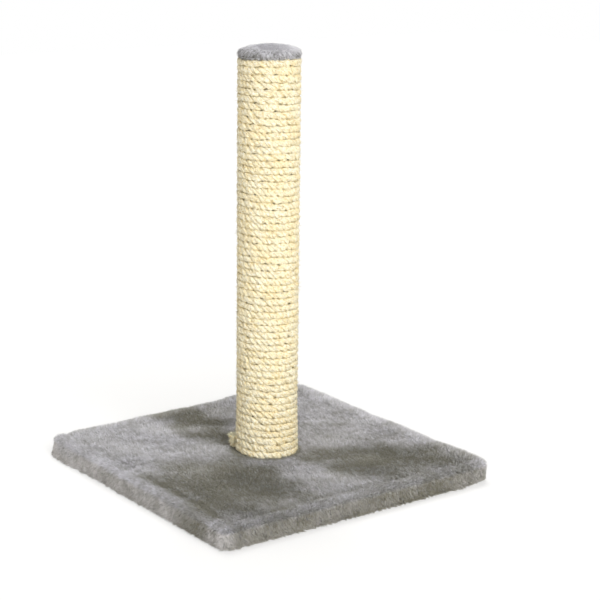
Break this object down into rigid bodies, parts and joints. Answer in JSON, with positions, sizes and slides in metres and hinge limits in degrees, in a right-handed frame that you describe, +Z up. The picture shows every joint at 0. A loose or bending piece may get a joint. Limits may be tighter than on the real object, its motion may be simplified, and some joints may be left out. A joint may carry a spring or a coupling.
{
  "type": "cat scratching post",
  "caption": "Free-standing cat scratcher: an upright post wound with sisal rope and topped with a plush cap, bolted to the middle of a square board covered in plush.",
  "frame": {"origin": "middle of the base on the floor", "axes": "+Z up along the post, X and Y along the sides of the square base"},
  "size_m": [0.4666, 0.4666, 0.6215],
  "materials": {
    "plush": "short grey plush pile",
    "sisal": "natural twisted sisal fibre",
    "chipboard": "raw pressed chips",
    "plug_wood": "raw turned wood",
    "tube_card": "spiral wound card",
    "zinc_steel": "bright zinc plating",
    "staple_wire": "galvanised wire"
  },
  "bodies": {
    "root": {"base_board": "chipboard", "base_cover": "plush", "base_staples": "staple_wire", "post_bolt": "zinc_steel", "bolt_washer": "zinc_steel", "tee_nut": "zinc_steel", "post_tube": "tube_card", "bottom_plug": "plug_wood", "bottom_plug_staples": "staple_wire", "top_plug": "plug_wood", "top_plug_staples": "staple_wire", "cap_cover": "plush", "sisal_rope_lower": "sisal", "sisal_rope_middle": "sisal", "sisal_rope_upper": "sisal"}
  },
  "joints": []
}
